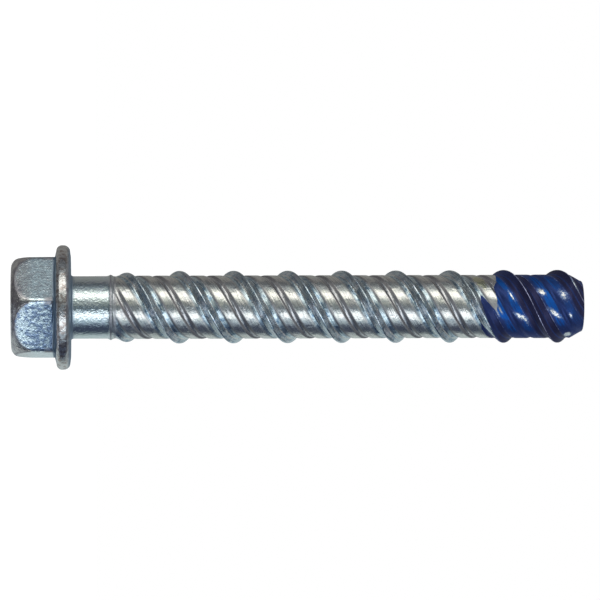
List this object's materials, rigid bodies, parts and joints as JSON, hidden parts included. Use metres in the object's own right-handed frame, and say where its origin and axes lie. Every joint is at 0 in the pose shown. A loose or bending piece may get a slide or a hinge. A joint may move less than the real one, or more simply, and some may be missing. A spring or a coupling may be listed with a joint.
{
  "type": "concrete screw anchor",
  "caption": "Zinc-plated screw anchor for drilled holes in concrete: hexagon washer head, plain shank, coarse high thread and a chamfered tip dipped in blue lacquer.",
  "frame": {"origin": "centre of the flat end face of the hexagon head", "axes": "+Z along the bar from the head to the tip; two of the hexagon's flats face +X and -X"},
  "size_m": [0.0186, 0.0186, 0.0851],
  "materials": {
    "zinc_plated_steel": "bright zinc plating, mottled, with a faint blue and straw tint; the last 13 mm at the tip carry a glossy blue dip lacquer"
  },
  "bodies": {
    "root": {"anchor": "zinc_plated_steel"}
  },
  "joints": []
}
